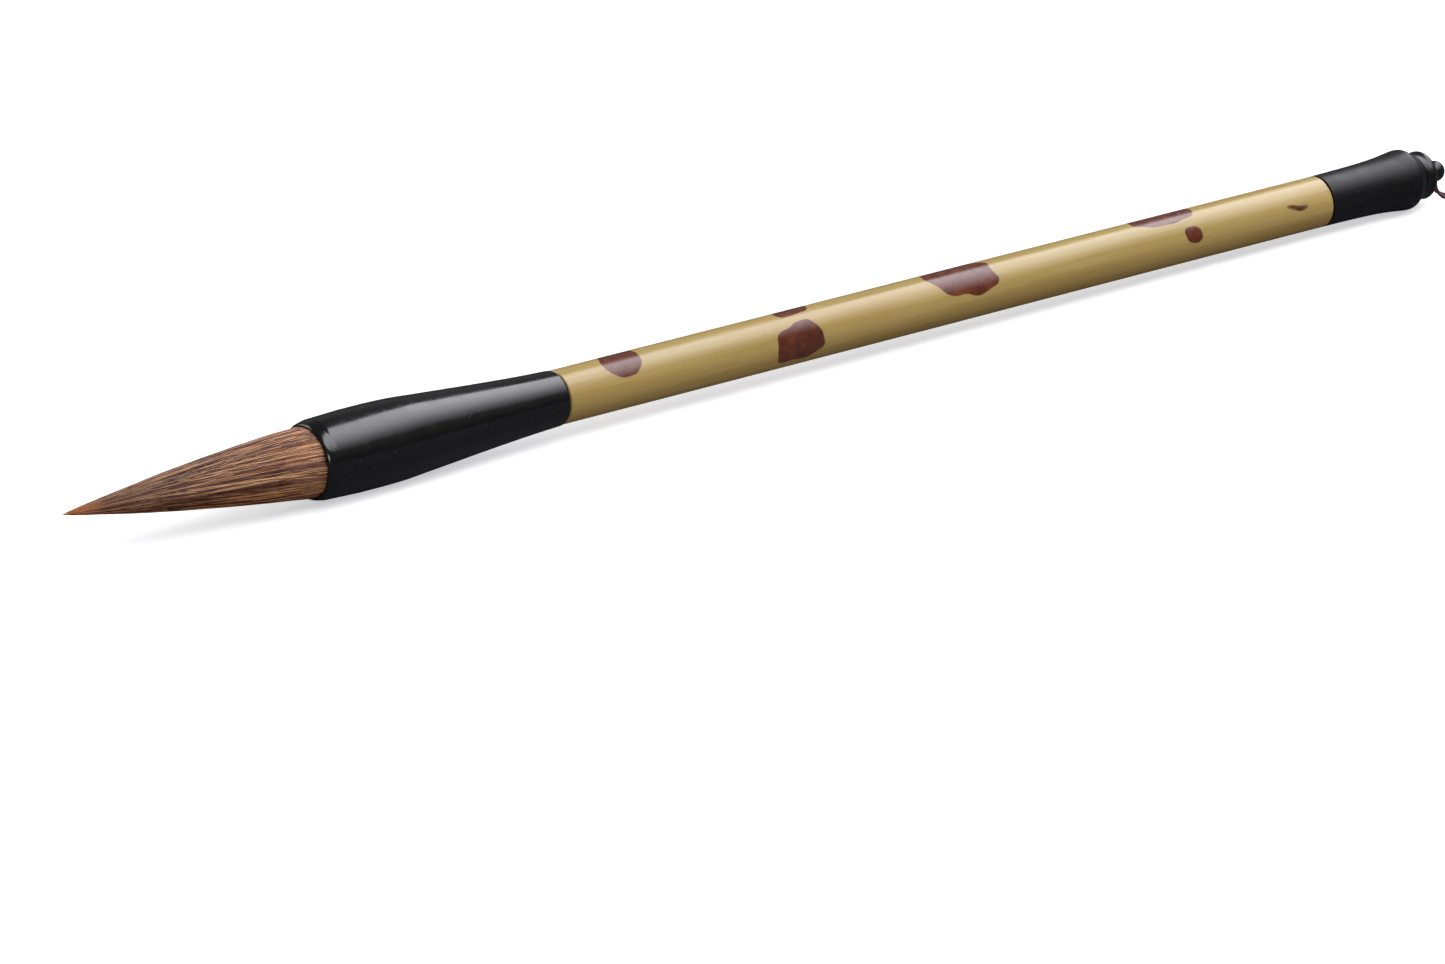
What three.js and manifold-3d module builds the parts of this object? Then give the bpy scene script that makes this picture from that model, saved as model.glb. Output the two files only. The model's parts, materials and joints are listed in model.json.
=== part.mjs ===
// A large round calligraphy brush lying on its side, in millimetres, +Z up.
// The shaft runs along +X: hair point at -X, hanging loop at +X. It rests on z = 0 on the belly
// of its horn ferrule and on the flare of its tail cap, so the shaft slopes down slightly to +X.
// Stations along the shaft (t) are measured from the joint between ferrule and bamboo: 0 is the
// rear edge of the ferrule, and the hair is at negative t.
import * as THREE from "three";
import { mergeVertices } from "three/addons/utils/BufferGeometryUtils.js";
import Module from "manifold-3d";

const wasm = await Module();
wasm.setup();

// ---- Driving dimensions ----
const GAP = 0.3; // clearance left between separate pieces

const MOUTH_T = -51.65; // front plane of the ferrule
const LIP_R = 5.95; // the lip closes in on the hair
const SOCKET_R = 6.15;
const LIP_DEPTH = 1;
const SHOULDER_T = -49.75; // the rounded nose ends here
const SHOULDER_R = 6.81;
const BELLY_R = 7.08; // largest radius of the ferrule
const BELLY_FRONT_T = -43; // the belly is cylindrical between these two stations
const BELLY_REAR_T = -38;
const FERRULE_REAR_R = 4.8;
const SOCKET_FLOOR_T = -34.5; // bottom of the hair socket
const PILOT_R = 1.2;
const BORE_BEVEL = 0.8;
const REAR_EDGE = 0.25;

const BAMBOO_R = 4.7;
const BAMBOO_END_T = 176;
const TENON_BORE_R = 3.3; // bore of bamboo, ferrule and cap round the dowels
const DOWEL_R = TENON_BORE_R - GAP;
const FRONT_DOWEL_T = [-19.5, 22];
const REAR_DOWEL_T = [156, 188];

const FLARE_R = 5.6; // widest rim of the tail cap
const FLARE_T = 196.8;
const FLARE_BEND_R = 1.1;
const CAP_REAR_T = 199.4;
const CAP_REAR_R = 4.2;
const PEG_BORE_R = 2;
const PEG_R = PEG_BORE_R - GAP;
const PEG_FRONT_T = 190;

const RIM_R = 4.45; // rounded rim of the finial
const RIM_T = 201.6;
const RIM_BEND_R = 0.7;
const NECK_R = 1.5;
const NECK_T = 204.4;
const BALL_R = 1.75;
const BALL_T = 205.45;
const CORD_HOLE_R = 1.05;
const CORD_HOLE_TOP = 0.15; // height of the blind hole's end above the ball's middle
const DRILL_LENGTH = 4;
const PEG_BEVEL = 0.4;
const DOWEL_BEVEL = 0.6;

const HINGE_T = -53.4; // the hair bends about an upright axis just in front of the mouth
const HAIR_LENGTH = 46.7; // from that axis to the point
const HAIR_BASE_R = 5.72;
const HAIR_LIFT_DEG = 1.9; // the tuft points slightly upwards
const ROOT_R = 5.85;
const ROOT_FRONT_T = -49.4;
const ROOT_REAR_T = -37;
const THREAD_T = [-41.5, -38.5];
const THREAD_R = 0.2;
const SEAL_T = [ROOT_REAR_T + GAP, SOCKET_FLOOR_T - GAP];

const CORD_R = 0.35;
const CORD_STEPS = 78;
const CORD_CURVE_SEGMENTS = 4;

const OUTER_SIDES = 28;
const INNER_SIDES = 20;

// The shaft's slope and height follow from the two radii that it rests on.
const SLOPE = Math.atan2(BELLY_R - FLARE_R, FLARE_T - BELLY_REAR_T);
const AXIS_HEIGHT = BELLY_REAR_T * Math.sin(SLOPE) + BELLY_R * Math.cos(SLOPE);
const POINT_T = HINGE_T - HAIR_LENGTH * Math.cos(THREE.MathUtils.degToRad(HAIR_LIFT_DEG));
const MIDDLE_T = (POINT_T + BALL_T + BALL_R) / 2;

// ---- Materials ----
function material(color, roughness) {
  return new THREE.MeshStandardMaterial({ color, roughness, metalness: 0 });
}

const horn = material(0x101012, 0.25);
const bamboo = material(0xc4ac6a, 0.35);
const hair = material(0x7a5036, 0.6);
const innerHair = material(0x8f6a4a, 0.7);
const thread = material(0xd8cdb4, 0.8);
const rosin = material(0x6b3a14, 0.3);
const dowelWood = material(0xb48a58, 0.7);
const silk = material(0x3a1018, 0.7);

// ---- Helpers ----
const deg = THREE.MathUtils.degToRad;

// Points along a smooth curve through a few [t, radius] stations.
function smooth(stations, count) {
  const curve = new THREE.SplineCurve(stations.map(([t, r]) => new THREE.Vector2(r, t)));
  return curve.getPoints(count);
}

// Points of a circular arc in the profile plane; angle 0 points away from the shaft's axis.
function arc(t, r, radius, fromDeg, toDeg, count) {
  return Array.from({ length: count + 1 }, (_, i) => {
    const a = deg(fromDeg + ((toDeg - fromDeg) * i) / count);
    return new THREE.Vector2(r + radius * Math.cos(a), t + radius * Math.sin(a));
  });
}

const at = (t, r) => new THREE.Vector2(r, t);

// Turns a closed profile round the shaft's axis (+X). The polygons are drawn round the true
// circle, so that the flats lie on it, and one flat faces straight down.
function turned(profile, sides) {
  const out = 1 / Math.cos(Math.PI / sides);
  const points = profile.map((p) => new THREE.Vector2(Math.max(p.x, 0) * out, p.y));
  const ring = THREE.ShapeUtils.area(points) < 0 ? points.reverse() : points;
  const closed = ring[0].x === 0 && ring.at(-1).x === 0 ? ring : [...ring, ring[0].clone()];
  return new THREE.LatheGeometry(closed, sides, Math.PI / sides).rotateZ(-Math.PI / 2);
}

function solid(geometry) {
  const bare = new THREE.BufferGeometry();
  bare.setAttribute("position", geometry.attributes.position);
  bare.setIndex(geometry.index);
  const merged = mergeVertices(bare, 1e-4);
  return new wasm.Manifold(
    new wasm.Mesh({
      numProp: 3,
      vertProperties: new Float32Array(merged.attributes.position.array),
      triVerts: new Uint32Array(merged.index.array),
    }),
  );
}

function geometryOf(manifold) {
  const mesh = manifold.getMesh();
  const geometry = new THREE.BufferGeometry();
  geometry.setAttribute("position", new THREE.BufferAttribute(mesh.vertProperties, 3));
  geometry.setIndex(new THREE.BufferAttribute(mesh.triVerts, 1));
  geometry.computeVertexNormals();
  return geometry;
}

function piece(name, geometry, pieceMaterial) {
  const mesh = new THREE.Mesh(geometry, pieceMaterial);
  mesh.name = name;
  return mesh;
}

// ---- Ferrule: a turned horn socket, open to the front, with a tenon bore from the rear ----
function ferrule() {
  const nose = [[-51.6, 6.3], [-50.95, 6.58], [SHOULDER_T, SHOULDER_R]];
  const front = [[-47, 6.93], [-45, 7.0], [BELLY_FRONT_T, BELLY_R]];
  const taper = [
    [BELLY_REAR_T, BELLY_R], [-34, 6.95], [-28, 6.54], [-14, 5.55], [-6, 5.05],
    [-0.4, FERRULE_REAR_R],
  ];
  const outside = [
    at(MOUTH_T + 0.35, LIP_R),
    at(MOUTH_T, LIP_R + 0.2),
    ...smooth(nose, 3),
    ...smooth(front, 3),
    ...smooth(taper, 9),
    at(0, FERRULE_REAR_R - REAR_EDGE),
  ];
  const inside = [
    at(0, TENON_BORE_R),
    at(FRONT_DOWEL_T[0] - GAP, TENON_BORE_R),
    at(FRONT_DOWEL_T[0] - GAP - BORE_BEVEL, PILOT_R),
    at(SOCKET_FLOOR_T, PILOT_R),
    at(SOCKET_FLOOR_T, SOCKET_R),
    at(MOUTH_T + LIP_DEPTH, SOCKET_R),
  ];
  return turned([...outside, ...inside], OUTER_SIDES);
}

// ---- Bamboo handle: a plain length of culm, bored through ----
function handleTube() {
  const front = GAP;
  const rear = BAMBOO_END_T - GAP;
  const skin = [[front, BAMBOO_R], [60, BAMBOO_R + 0.03], [120, BAMBOO_R], [rear, BAMBOO_R]];
  const bore = [[rear, TENON_BORE_R], [front, TENON_BORE_R]];
  return turned([...smooth(skin, 8), ...smooth(bore, 8)], OUTER_SIDES);
}

// ---- Dowels that join ferrule, bamboo and cap ----
function dowel([front, rear]) {
  return turned(
    [
      at(front, 0),
      at(front, DOWEL_R - DOWEL_BEVEL),
      at(front + DOWEL_BEVEL, DOWEL_R),
      at(rear - DOWEL_BEVEL, DOWEL_R),
      at(rear, DOWEL_R - DOWEL_BEVEL),
      at(rear, 0),
    ],
    INNER_SIDES,
  );
}

// ---- Tail cap: flush with the bamboo, swelling to a rounded rim ----
function tailCap() {
  const swell = [
    [180, 4.74], [186, 4.84], [190, 4.99], [193, 5.22], [195, 5.45], [FLARE_T - 0.5, FLARE_R],
  ];
  const outside = [
    at(BAMBOO_END_T, BAMBOO_R),
    ...smooth(swell, 8),
    ...arc(FLARE_T, FLARE_R - FLARE_BEND_R, FLARE_BEND_R, 0, 62, 3),
    at(198.75, 4.55),
    at(CAP_REAR_T, CAP_REAR_R),
  ];
  const inside = [
    at(CAP_REAR_T, PEG_BORE_R),
    at(PEG_FRONT_T - GAP, PEG_BORE_R),
    at(PEG_FRONT_T - GAP - BORE_BEVEL, TENON_BORE_R),
    at(BAMBOO_END_T, TENON_BORE_R),
  ];
  return turned([...outside, ...inside], OUTER_SIDES);
}

// ---- Finial: peg, rounded rim, cone, neck and ball, with a blind hole for the loop ----
function finial() {
  const front = CAP_REAR_T + GAP;
  const body = turned(
    [
      at(PEG_FRONT_T, 0),
      at(PEG_FRONT_T, PEG_R - PEG_BEVEL),
      at(PEG_FRONT_T + PEG_BEVEL, PEG_R),
      at(front, PEG_R),
      at(front, CAP_REAR_R - 0.1),
      ...arc(RIM_T, RIM_R - RIM_BEND_R, RIM_BEND_R, -50, 50, 4),
      at(202.85, 3.55),
      at(203.85, 2.2),
      at(NECK_T, NECK_R),
      ...arc(BALL_T, 0, BALL_R, -32, 90, 9).slice(0, -1),
      at(BALL_T + BALL_R, 0),
    ],
    OUTER_SIDES,
  );
  const drill = new THREE.CylinderGeometry(CORD_HOLE_R, CORD_HOLE_R, DRILL_LENGTH, 16);
  drill.rotateX(Math.PI / 2).translate(BALL_T, 0, CORD_HOLE_TOP - DRILL_LENGTH / 2);
  return geometryOf(solid(body).subtract(solid(drill)));
}

// ---- Hair: three layers in front of the mouth, each standing on one sphere about the hinge,
// and the bound root that stays in the socket. Here stations are distances ahead of the hinge. ----
const COVER_BORE_R = 4.45;
const PADDING_R = [2.4, 4.1];
const CORE_R = 2.1;
const HAIR_OUTSIDE = [
  [0, HAIR_BASE_R], [4.6, 5.42], [10.6, 4.87], [18.6, 4.03], [26.6, 3.06], [34.6, 1.97],
  [40.6, 1.1], [44.6, 0.47], [HAIR_LENGTH, 0],
];
const COVER_INSIDE = [[0, COVER_BORE_R], [8, 3.95], [18, 2.9], [30, 1.55], [38, 0.55], [40.5, 0]];
const PADDING_OUTSIDE = [[0, PADDING_R[1]], [8, 3.6], [16, 2.8], [21, 2.25]];
const PADDING_INSIDE = [[21, 2.05], [12, 2.3], [0, PADDING_R[0]]];
const CORE_OUTSIDE = [[0, CORE_R], [14, 1.8], [27, 1.15], [36, 0.4], [38.5, 0]];

// The profile ahead of the hinge points to -X, so its stations are negated.
const ahead = (stations, count) => smooth(stations.map(([s, r]) => [-s, r]), count);

// The part of the base sphere between two radii.
function seat(fromR, toR, sphereR, count) {
  return Array.from({ length: count + 1 }, (_, i) => {
    const r = fromR + ((toR - fromR) * i) / count;
    return new THREE.Vector2(r, Math.sqrt(sphereR * sphereR - r * r));
  });
}

function coverHair() {
  const base = seat(COVER_BORE_R, HAIR_BASE_R, HAIR_BASE_R, 5);
  const profile = [...ahead(COVER_INSIDE, 8).reverse(), ...base, ...ahead(HAIR_OUTSIDE, 14)];
  return turned(profile, INNER_SIDES);
}

function paddingHair() {
  const base = seat(...PADDING_R, HAIR_BASE_R, 2);
  const profile = [...ahead(PADDING_OUTSIDE, 5), ...ahead(PADDING_INSIDE, 3), ...base];
  return turned(profile, INNER_SIDES);
}

function coreHair() {
  return turned([...seat(0, CORE_R, HAIR_BASE_R, 3), ...ahead(CORE_OUTSIDE, 9)], INNER_SIDES);
}

function hairRoot() {
  const dishR = HAIR_BASE_R + GAP;
  const rimR = Math.sqrt(dishR ** 2 - (ROOT_FRONT_T - HINGE_T) ** 2);
  const waistR = ROOT_R - 2 * THREAD_R - GAP;
  const dish = seat(0, rimR, dishR, 4).map((p) => new THREE.Vector2(p.x, p.y + HINGE_T));
  return turned(
    [
      ...dish,
      at(ROOT_FRONT_T, ROOT_R),
      at(THREAD_T[0] - GAP, ROOT_R),
      at(THREAD_T[0] - GAP, waistR),
      at(THREAD_T[1] + GAP, waistR),
      at(THREAD_T[1] + GAP, ROOT_R),
      at(ROOT_REAR_T, ROOT_R),
      at(ROOT_REAR_T, 0),
    ],
    INNER_SIDES,
  );
}

// Binding thread: turns that lie side by side round the root.
function rootThread() {
  const turns = 6;
  const [front, rear] = THREAD_T;
  const pitch = (rear - front) / turns;
  const insideR = ROOT_R - 2 * THREAD_R;
  const ridges = Array.from({ length: turns }, (_, i) => {
    const t = front + (i + 0.5) * pitch;
    return [
      at(t - pitch / 2, insideR + THREAD_R),
      at(t - pitch / 5, insideR + 2 * THREAD_R),
      at(t + pitch / 5, insideR + 2 * THREAD_R),
    ];
  }).flat();
  const ends = [at(rear, insideR + THREAD_R), at(rear, insideR)];
  return turned([at(front, insideR), ...ridges, ...ends], INNER_SIDES);
}

function rootSeal() {
  const [front, rear] = SEAL_T;
  return turned([at(front, 0), at(front, ROOT_R), at(rear, ROOT_R), at(rear, 0)], INNER_SIDES);
}

// ---- Hanging loop: one limp cord. Both ends sit side by side in the hole under the ball. It
// drops to the table and lies there as an open loop. Each point is [x, y, z], with x counted
// from the ball's middle and z from the table. ----
const LOOP_ROUTE = [
  [0, -0.4, 4.9], [0, -0.4, 4.0], [0.02, -0.44, 3.0], [0.25, -0.72, 1.9], [0.85, -1.45, 0.95],
  [1.9, -2.75, 0.46], [3.3, -4.5, 0.38], [6.0, -7.2, 0.38], [10.5, -9.7, 0.38], [17, -11.1, 0.38],
  [24.5, -11.2, 0.38], [31.5, -9.9, 0.38], [37.2, -7.0, 0.38], [41, -2.6, 0.38], [41.7, 2.2, 0.38],
  [38.9, 6.1, 0.38], [33.6, 7.6, 0.38], [26.6, 6.9, 0.38], [19, 4.9, 0.38], [12, 2.6, 0.38],
  [7.2, 0.9, 0.38], [3.9, -0.1, 0.46], [1.75, -0.25, 0.95], [0.5, 0.25, 1.9],
  [0.03, 0.43, 3.0], [0, 0.4, 4.0], [0, 0.4, 4.9],
];

function hangingLoop(ballX) {
  const route = new THREE.CatmullRomCurve3(
    LOOP_ROUTE.map(([x, y, z]) => new THREE.Vector3(ballX + x, y, z)),
    false,
    "centripetal",
  );
  const section = new THREE.Shape();
  section.absarc(0, 0, CORD_R, 0, 2 * Math.PI);
  return new THREE.ExtrudeGeometry(section, {
    extrudePath: route,
    steps: CORD_STEPS,
    curveSegments: CORD_CURVE_SEGMENTS,
    bevelEnabled: false,
  });
}

// ---- Assembly ----
const shaft = new THREE.Group();
shaft.rotation.y = SLOPE;
shaft.position.set(-MIDDLE_T * Math.cos(SLOPE), 0, AXIS_HEIGHT);
shaft.add(
  piece("ferrule", ferrule(), horn),
  piece("hair_root", hairRoot(), innerHair),
  piece("root_thread", rootThread(), thread),
  piece("root_seal", rootSeal(), rosin),
  piece("front_dowel", dowel(FRONT_DOWEL_T), dowelWood),
  piece("handle_tube", handleTube(), bamboo),
  piece("rear_dowel", dowel(REAR_DOWEL_T), dowelWood),
  piece("tail_cap", tailCap(), horn),
  piece("finial", finial(), horn),
);

const tuft = new THREE.Group();
tuft.position.x = HINGE_T;
tuft.rotation.y = deg(HAIR_LIFT_DEG);
tuft.add(
  piece("cover_hair", coverHair(), hair),
  piece("padding_hair", paddingHair(), innerHair),
  piece("core_hair", coreHair(), innerHair),
);
shaft.add(tuft);

const brush = new THREE.Group();
const ballX = (BALL_T - MIDDLE_T) * Math.cos(SLOPE);
brush.add(shaft, piece("hanging_loop", hangingLoop(ballX), silk));

export default brush;
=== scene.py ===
import json
import math
import random

import bmesh
import bpy
from mathutils import Matrix, Vector, noise


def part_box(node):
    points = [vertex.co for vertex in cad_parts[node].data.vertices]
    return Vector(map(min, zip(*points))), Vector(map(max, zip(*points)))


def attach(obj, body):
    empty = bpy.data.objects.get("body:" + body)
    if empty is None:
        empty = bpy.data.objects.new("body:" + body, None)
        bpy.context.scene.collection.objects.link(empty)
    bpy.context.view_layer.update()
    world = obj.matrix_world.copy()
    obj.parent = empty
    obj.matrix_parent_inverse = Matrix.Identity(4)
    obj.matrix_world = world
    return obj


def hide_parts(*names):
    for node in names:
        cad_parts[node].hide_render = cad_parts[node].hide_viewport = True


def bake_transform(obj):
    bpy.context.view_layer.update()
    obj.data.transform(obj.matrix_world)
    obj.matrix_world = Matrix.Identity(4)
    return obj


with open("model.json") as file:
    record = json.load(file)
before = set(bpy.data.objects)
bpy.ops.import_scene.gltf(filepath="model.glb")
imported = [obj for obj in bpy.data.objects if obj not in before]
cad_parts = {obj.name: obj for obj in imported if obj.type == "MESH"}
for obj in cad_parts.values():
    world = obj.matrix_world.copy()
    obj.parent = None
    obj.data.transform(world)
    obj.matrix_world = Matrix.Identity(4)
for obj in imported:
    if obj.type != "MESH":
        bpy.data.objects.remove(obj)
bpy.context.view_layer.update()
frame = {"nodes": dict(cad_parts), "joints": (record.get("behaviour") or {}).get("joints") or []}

MM = 0.001
CRISP_EDGE = math.radians(32)  # sharper corners than this aren't smoothed

# ---- The shaft's own line. Stations are millimetres along it from the rear edge of the
# ferrule, positive towards the cap; the hair lies at negative stations. ----
SLOPE = math.radians(0.3611)
HINGE_STATION = -53.4
HINGE = Vector(frame["joints"][0]["pos_m"])
ALONG = Vector((math.cos(SLOPE), 0.0, -math.sin(SLOPE)))
ACROSS = Vector((0.0, -1.0, 0.0))
UPWARD = Vector((math.sin(SLOPE), 0.0, math.cos(SLOPE)))
STATION_ZERO = HINGE - ALONG * HINGE_STATION * MM

# ---- Driving dimensions, in millimetres ----
LIP_RADIUS = 5.95
MOUTH_BORE = 6.15
SOCKET_FLOOR = -34.5
TENON_BORE = 3.3
BAMBOO_RADIUS = 4.7
BAMBOO_LENGTH = 176.0
END_EDGE = 0.15  # how far the bamboo's and the cap's meeting edges are eased
END_RADIUS = 4.56
GAP = 0.3
CAP_REAR = 199.4
PEG_FRONT = 190.0
PEG_BORE = 2.0
RIM_STATION = 201.6
RIM_RADIUS = 4.45
BALL_STATION = 205.4
BALL_RADIUS = 1.95
CORD_HOLE_STATION = 205.45
CORD_HOLE_INSET = 1.75  # from the hole's middle to the ball's end
CORD_HOLE_RADIUS = 1.05

HAIR_LIFT = math.radians(1.9)
HAIR_LENGTH = 46.7
HAIR_RISE = 0.17  # how far the loose hair springs up,
RISE_START = -2.5  # from this far ahead of the hinge on,
RISE_SPAN = 6  # over this length
HAIR_OUTLINE = [
    (-4.0, 5.86), (-2.0, 5.88), (0, 5.76), (4.6, 5.42), (10.6, 4.87), (18.6, 4.03),
    (26.6, 3.06), (34.6, 1.97), (40.6, 1.10), (44.6, 0.47), (46.7, 0.04),
]

CORD_DIAMETER = 0.7
CORD_SIDES = 18
CORD_PLIES = 3
CORD_PITCH = 2.1  # one full turn of the plies
CORD_STEP = 0.2
# The loop's line: x from the ball's middle, y, and z from the table.
LOOP_ROUTE = [
    (0, -0.4, 4.9), (0, -0.4, 4.0), (0.02, -0.44, 3.0), (0.25, -0.72, 1.9),
    (0.85, -1.45, 0.95), (1.9, -2.75, 0.46), (3.3, -4.5, 0.38), (6.0, -7.2, 0.38),
    (10.5, -9.7, 0.38), (17, -11.1, 0.38), (24.5, -11.2, 0.38), (31.5, -9.9, 0.38),
    (37.2, -7.0, 0.38), (41, -2.6, 0.38), (41.7, 2.2, 0.38), (38.9, 6.1, 0.38),
    (33.6, 7.6, 0.38), (26.6, 6.9, 0.38), (19, 4.9, 0.38), (12, 2.6, 0.38),
    (7.2, 0.9, 0.38), (3.9, -0.1, 0.46), (1.75, -0.25, 0.95), (0.5, 0.25, 1.9),
    (0.03, 0.43, 3.0), (0, 0.4, 4.0), (0, 0.4, 4.9),
]


# ---- Places on the shaft ----
def on_shaft(station, radius=0.0, angle=0.0):
    """A point at a station, that far from the shaft's middle; angle 0 is the top and a
    quarter turn is the side towards -Y."""
    out = UPWARD * math.cos(angle) + ACROSS * math.sin(angle)
    return STATION_ZERO + (ALONG * station + out * radius) * MM


def smooth_steps(points, count):
    """A smooth line through a few points, cut into count steps a stretch, that never
    overshoots them."""
    xs = [p[0] for p in points]
    ys = [p[1] for p in points]
    slopes = [(ys[i + 1] - ys[i]) / (xs[i + 1] - xs[i]) for i in range(len(xs) - 1)]
    tangents = [slopes[0]]
    for before, after in zip(slopes, slopes[1:]):
        even = before * after > 0
        tangents.append(2 * before * after / (before + after) if even else 0.0)
    tangents.append(slopes[-1])
    line = []
    for i in range(len(xs) - 1):
        wide = xs[i + 1] - xs[i]
        for k in range(count):
            u = k / count
            line.append((
                xs[i] + u * wide,
                (2 * u ** 3 - 3 * u * u + 1) * ys[i]
                + (u ** 3 - 2 * u * u + u) * wide * tangents[i]
                + (3 * u * u - 2 * u ** 3) * ys[i + 1]
                + (u ** 3 - u * u) * wide * tangents[i + 1],
            ))
    line.append((xs[-1], ys[-1]))
    return line


def read_line(line, x):
    """The height of a sampled line at x."""
    if x <= line[0][0]:
        return line[0][1]
    for (x0, y0), (x1, y1) in zip(line, line[1:]):
        if x <= x1:
            return y0 + (y1 - y0) * (x - x0) / (x1 - x0)
    return line[-1][1]


def arc(station, radius, bend, first, last, count):
    """Points of a rounded edge in the outline; 0 degrees points away from the shaft."""
    turns = [math.radians(first + (last - first) * i / count) for i in range(count + 1)]
    return [(station + bend * math.sin(a), radius + bend * math.cos(a)) for a in turns]


# ---- Meshes ----
def put_in_scene(name, data):
    """A new object in the scene, for a mesh, a light or a camera."""
    made = bpy.data.objects.new(name, data)
    bpy.context.scene.collection.objects.link(made)
    return made


def dressed(name, mesh, material):
    """A smooth-shaded object from a mesh, with its one material."""
    for face in mesh.polygons:
        face.use_smooth = True
    mesh.materials.append(material)
    return put_in_scene(name, mesh)


def new_piece(name, work, material):
    """A smooth-shaded object from a bmesh, which is used up."""
    mesh = bpy.data.meshes.new(name)
    work.normal_update()
    work.to_mesh(mesh)
    work.free()
    return dressed(name, mesh, material)


def skin_tube(work, rings):
    """Joins a row of equal rings into a tube with flat ends."""
    for first, second in zip(rings, rings[1:]):
        for k in range(len(first)):
            n = (k + 1) % len(first)
            work.faces.new((first[k], first[n], second[n], second[k]))
    work.faces.new(rings[0][::-1])
    work.faces.new(rings[-1])
    bmesh.ops.recalc_face_normals(work, faces=work.faces)


def turned(name, outline, material, sides=144, wobble=None):
    """Turns a closed outline of (station, radius) round the shaft's middle. wobble adds
    to the radius."""
    work = bmesh.new()
    rings = []
    for station, radius in outline:
        if radius < 1e-6:
            rings.append([work.verts.new(on_shaft(station))])
            continue
        ring = []
        for k in range(sides):
            angle = 2 * math.pi * k / sides
            shift = wobble(station, radius, angle) if wobble else 0.0
            ring.append(work.verts.new(on_shaft(station, radius + shift, angle)))
        rings.append(ring)
    for first, second in zip(rings, rings[1:] + rings[:1]):
        if len(first) == 1 and len(second) == 1:
            continue
        for k in range(sides):
            n = (k + 1) % sides
            corners = [first[k % len(first)], first[n % len(first)],
                       second[n % len(second)], second[k % len(second)]]
            work.faces.new(list(dict.fromkeys(corners)))
    bmesh.ops.recalc_face_normals(work, faces=work.faces)
    for edge in work.edges:
        if len(edge.link_faces) == 2 and edge.calc_face_angle() > CRISP_EDGE:
            edge.smooth = False
    return new_piece(name, work, material)


def point_values(piece, name, values):
    """Stores one number for each vertex, for the materials to read."""
    made = piece.data.attributes.new(name, "FLOAT", "POINT")
    made.data.foreach_set("value", values)


# ---- Node trees, in short words ----
class Nodes:
    """Builds the nodes of one tree."""

    def __init__(self, tree):
        self.tree = tree

    def add(self, kind, inputs=None, **settings):
        """A new node with its settings, and its inputs set or linked."""
        node = self.tree.nodes.new(kind)
        for key, value in settings.items():
            setattr(node, key, value)
        for key, value in (inputs or {}).items():
            self.set(node.inputs[key], value)
        return node

    def set(self, socket, value):
        if isinstance(value, bpy.types.NodeSocket):
            self.tree.links.new(value, socket)
        else:
            socket.default_value = value

    def maths(self, operation, *values, clamp=False):
        node = self.add("ShaderNodeMath", operation=operation, use_clamp=clamp)
        for socket, value in zip(node.inputs, values):
            self.set(socket, value)
        return node.outputs[0]

    def vector(self, operation, *values, result=0):
        node = self.add("ShaderNodeVectorMath", operation=operation)
        for socket, value in zip(node.inputs, values):
            self.set(socket, value)
        return node.outputs[result]

    def join(self, x=0.0, y=0.0, z=0.0):
        return self.add("ShaderNodeCombineXYZ", {"X": x, "Y": y, "Z": z}).outputs[0]

    def ease(self, value, low, high, to_low=0.0, to_high=1.0):
        """Runs smoothly from to_low to to_high as value goes from low to high."""
        node = self.add("ShaderNodeMapRange", interpolation_type="SMOOTHSTEP")
        for socket, given in zip(node.inputs, (value, low, high, to_low, to_high)):
            self.set(socket, given)
        return node.outputs[0]

    def noise(self, place, scale, detail=2.0, rough=0.5):
        node = self.add("ShaderNodeTexNoise", {
            "Vector": place, "Scale": scale, "Detail": detail, "Roughness": rough,
        })
        return node.outputs[0]

    def blend(self, amount, first, second):
        """From the first colour at 0 to the second at 1."""
        node = self.add("ShaderNodeMix", data_type="RGBA")
        for index, value in ((0, amount), (6, first), (7, second)):
            self.set(node.inputs[index], value)
        return node.outputs[2]

    def colours(self, value, stops):
        """A colour ramp of (position, colour)."""
        node = self.add("ShaderNodeValToRGB", {"Fac": value})
        ramp = node.color_ramp
        while len(ramp.elements) < len(stops):
            ramp.elements.new(1.0)
        for element, (position, colour) in zip(ramp.elements, stops):
            element.position = position
            element.color = colour
        return node.outputs[0]

    def use(self, group, inputs):
        return self.add("ShaderNodeGroup", inputs, node_tree=group).outputs

    def on_shaft(self):
        """The piece's own coordinates, read along and round the shaft."""
        place = self.add("ShaderNodeTexCoord").outputs["Object"]
        return self.use(PLACE, {"Place": place})

    def stored(self, name):
        """A number kept with each vertex."""
        return self.add("ShaderNodeAttribute", attribute_name=name).outputs["Fac"]


def colour(red, green, blue):
    """A linear colour from everyday 0-255 values."""
    def linear(v):
        v /= 255
        return v / 12.92 if v <= 0.04045 else ((v + 0.055) / 1.055) ** 2.4
    return (linear(red), linear(green), linear(blue), 1.0)


def grey(level):
    """A linear grey."""
    return (level, level, level, 1.0)


def new_group(name, inputs, outputs):
    """An empty shader node group, with its ends. Inputs are (name, kind, value)."""
    tree = bpy.data.node_groups.new(name, "ShaderNodeTree")
    for label, kind, value in inputs:
        socket = tree.interface.new_socket(label, in_out="INPUT", socket_type=kind)
        if value is not None:
            socket.default_value = value
    for label, kind in outputs:
        tree.interface.new_socket(label, in_out="OUTPUT", socket_type=kind)
    nodes = Nodes(tree)
    start = nodes.add("NodeGroupInput").outputs
    end = nodes.add("NodeGroupOutput").inputs
    return tree, nodes, start, end


NUMBER, VECTOR = "NodeSocketFloat", "NodeSocketVector"


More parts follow.
